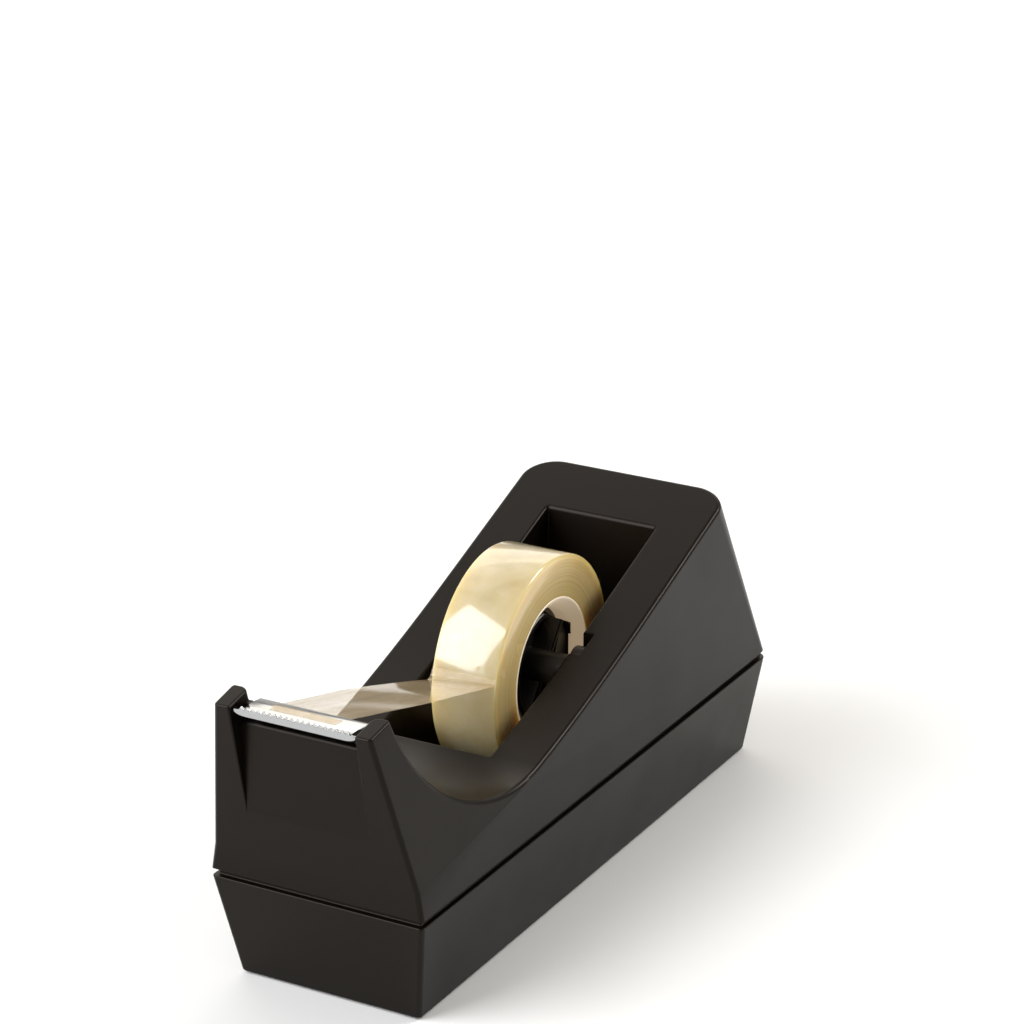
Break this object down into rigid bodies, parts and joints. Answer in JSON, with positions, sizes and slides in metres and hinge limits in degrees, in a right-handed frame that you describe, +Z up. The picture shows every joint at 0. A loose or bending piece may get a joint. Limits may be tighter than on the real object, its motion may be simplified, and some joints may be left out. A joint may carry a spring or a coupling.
{
  "type": "desktop tape dispenser",
  "caption": "Weighted desk tape dispenser with a wedge housing, toothed steel cutter and a lift-out tape roll spinning on a keyed axle.",
  "frame": {"origin": "middle of the bounding box at its lowest face, which is the underside of the non-slip pad", "axes": "+X across the body, -Y towards the cutter, +Z up"},
  "size_m": [0.0484, 0.1604, 0.0687],
  "materials": {
    "housing_plastic": "fine satin black moulding",
    "ballast": "plain cast",
    "pad_rubber": "matte foam rubber",
    "screw_steel": "zinc plated",
    "cutter_steel": "bright sheet steel",
    "hub_plastic": "satin black moulding",
    "core_plastic": "white moulding",
    "tape_wound": "clear film wound solid, cream and glossy",
    "tape_film": "clear film"
  },
  "bodies": {
    "case": {"upper_housing": "housing_plastic", "lower_shell": "housing_plastic", "ballast_slab": "ballast", "non_slip_pad": "pad_rubber", "case_screws": "screw_steel", "cutter_blade": "cutter_steel"},
    "axle": {"axle_pin": "hub_plastic", "axle_keys": "hub_plastic", "tape_leader": "tape_film"},
    "roll": {"hub_left": "hub_plastic", "hub_right": "hub_plastic", "tape_core": "core_plastic", "tape_roll": "tape_wound"}
  },
  "joints": [
    {"name": "axle_lift", "type": "slide", "parent": "case", "child": "axle", "axis": [0, 0, 1], "range_m": [0, 0.05]},
    {"name": "roll_spin", "type": "hinge", "parent": "axle", "child": "roll", "pos_m": [0, 0.00895, 0.0426], "axis": [1, 0, 0], "continuous": true}
  ]
}
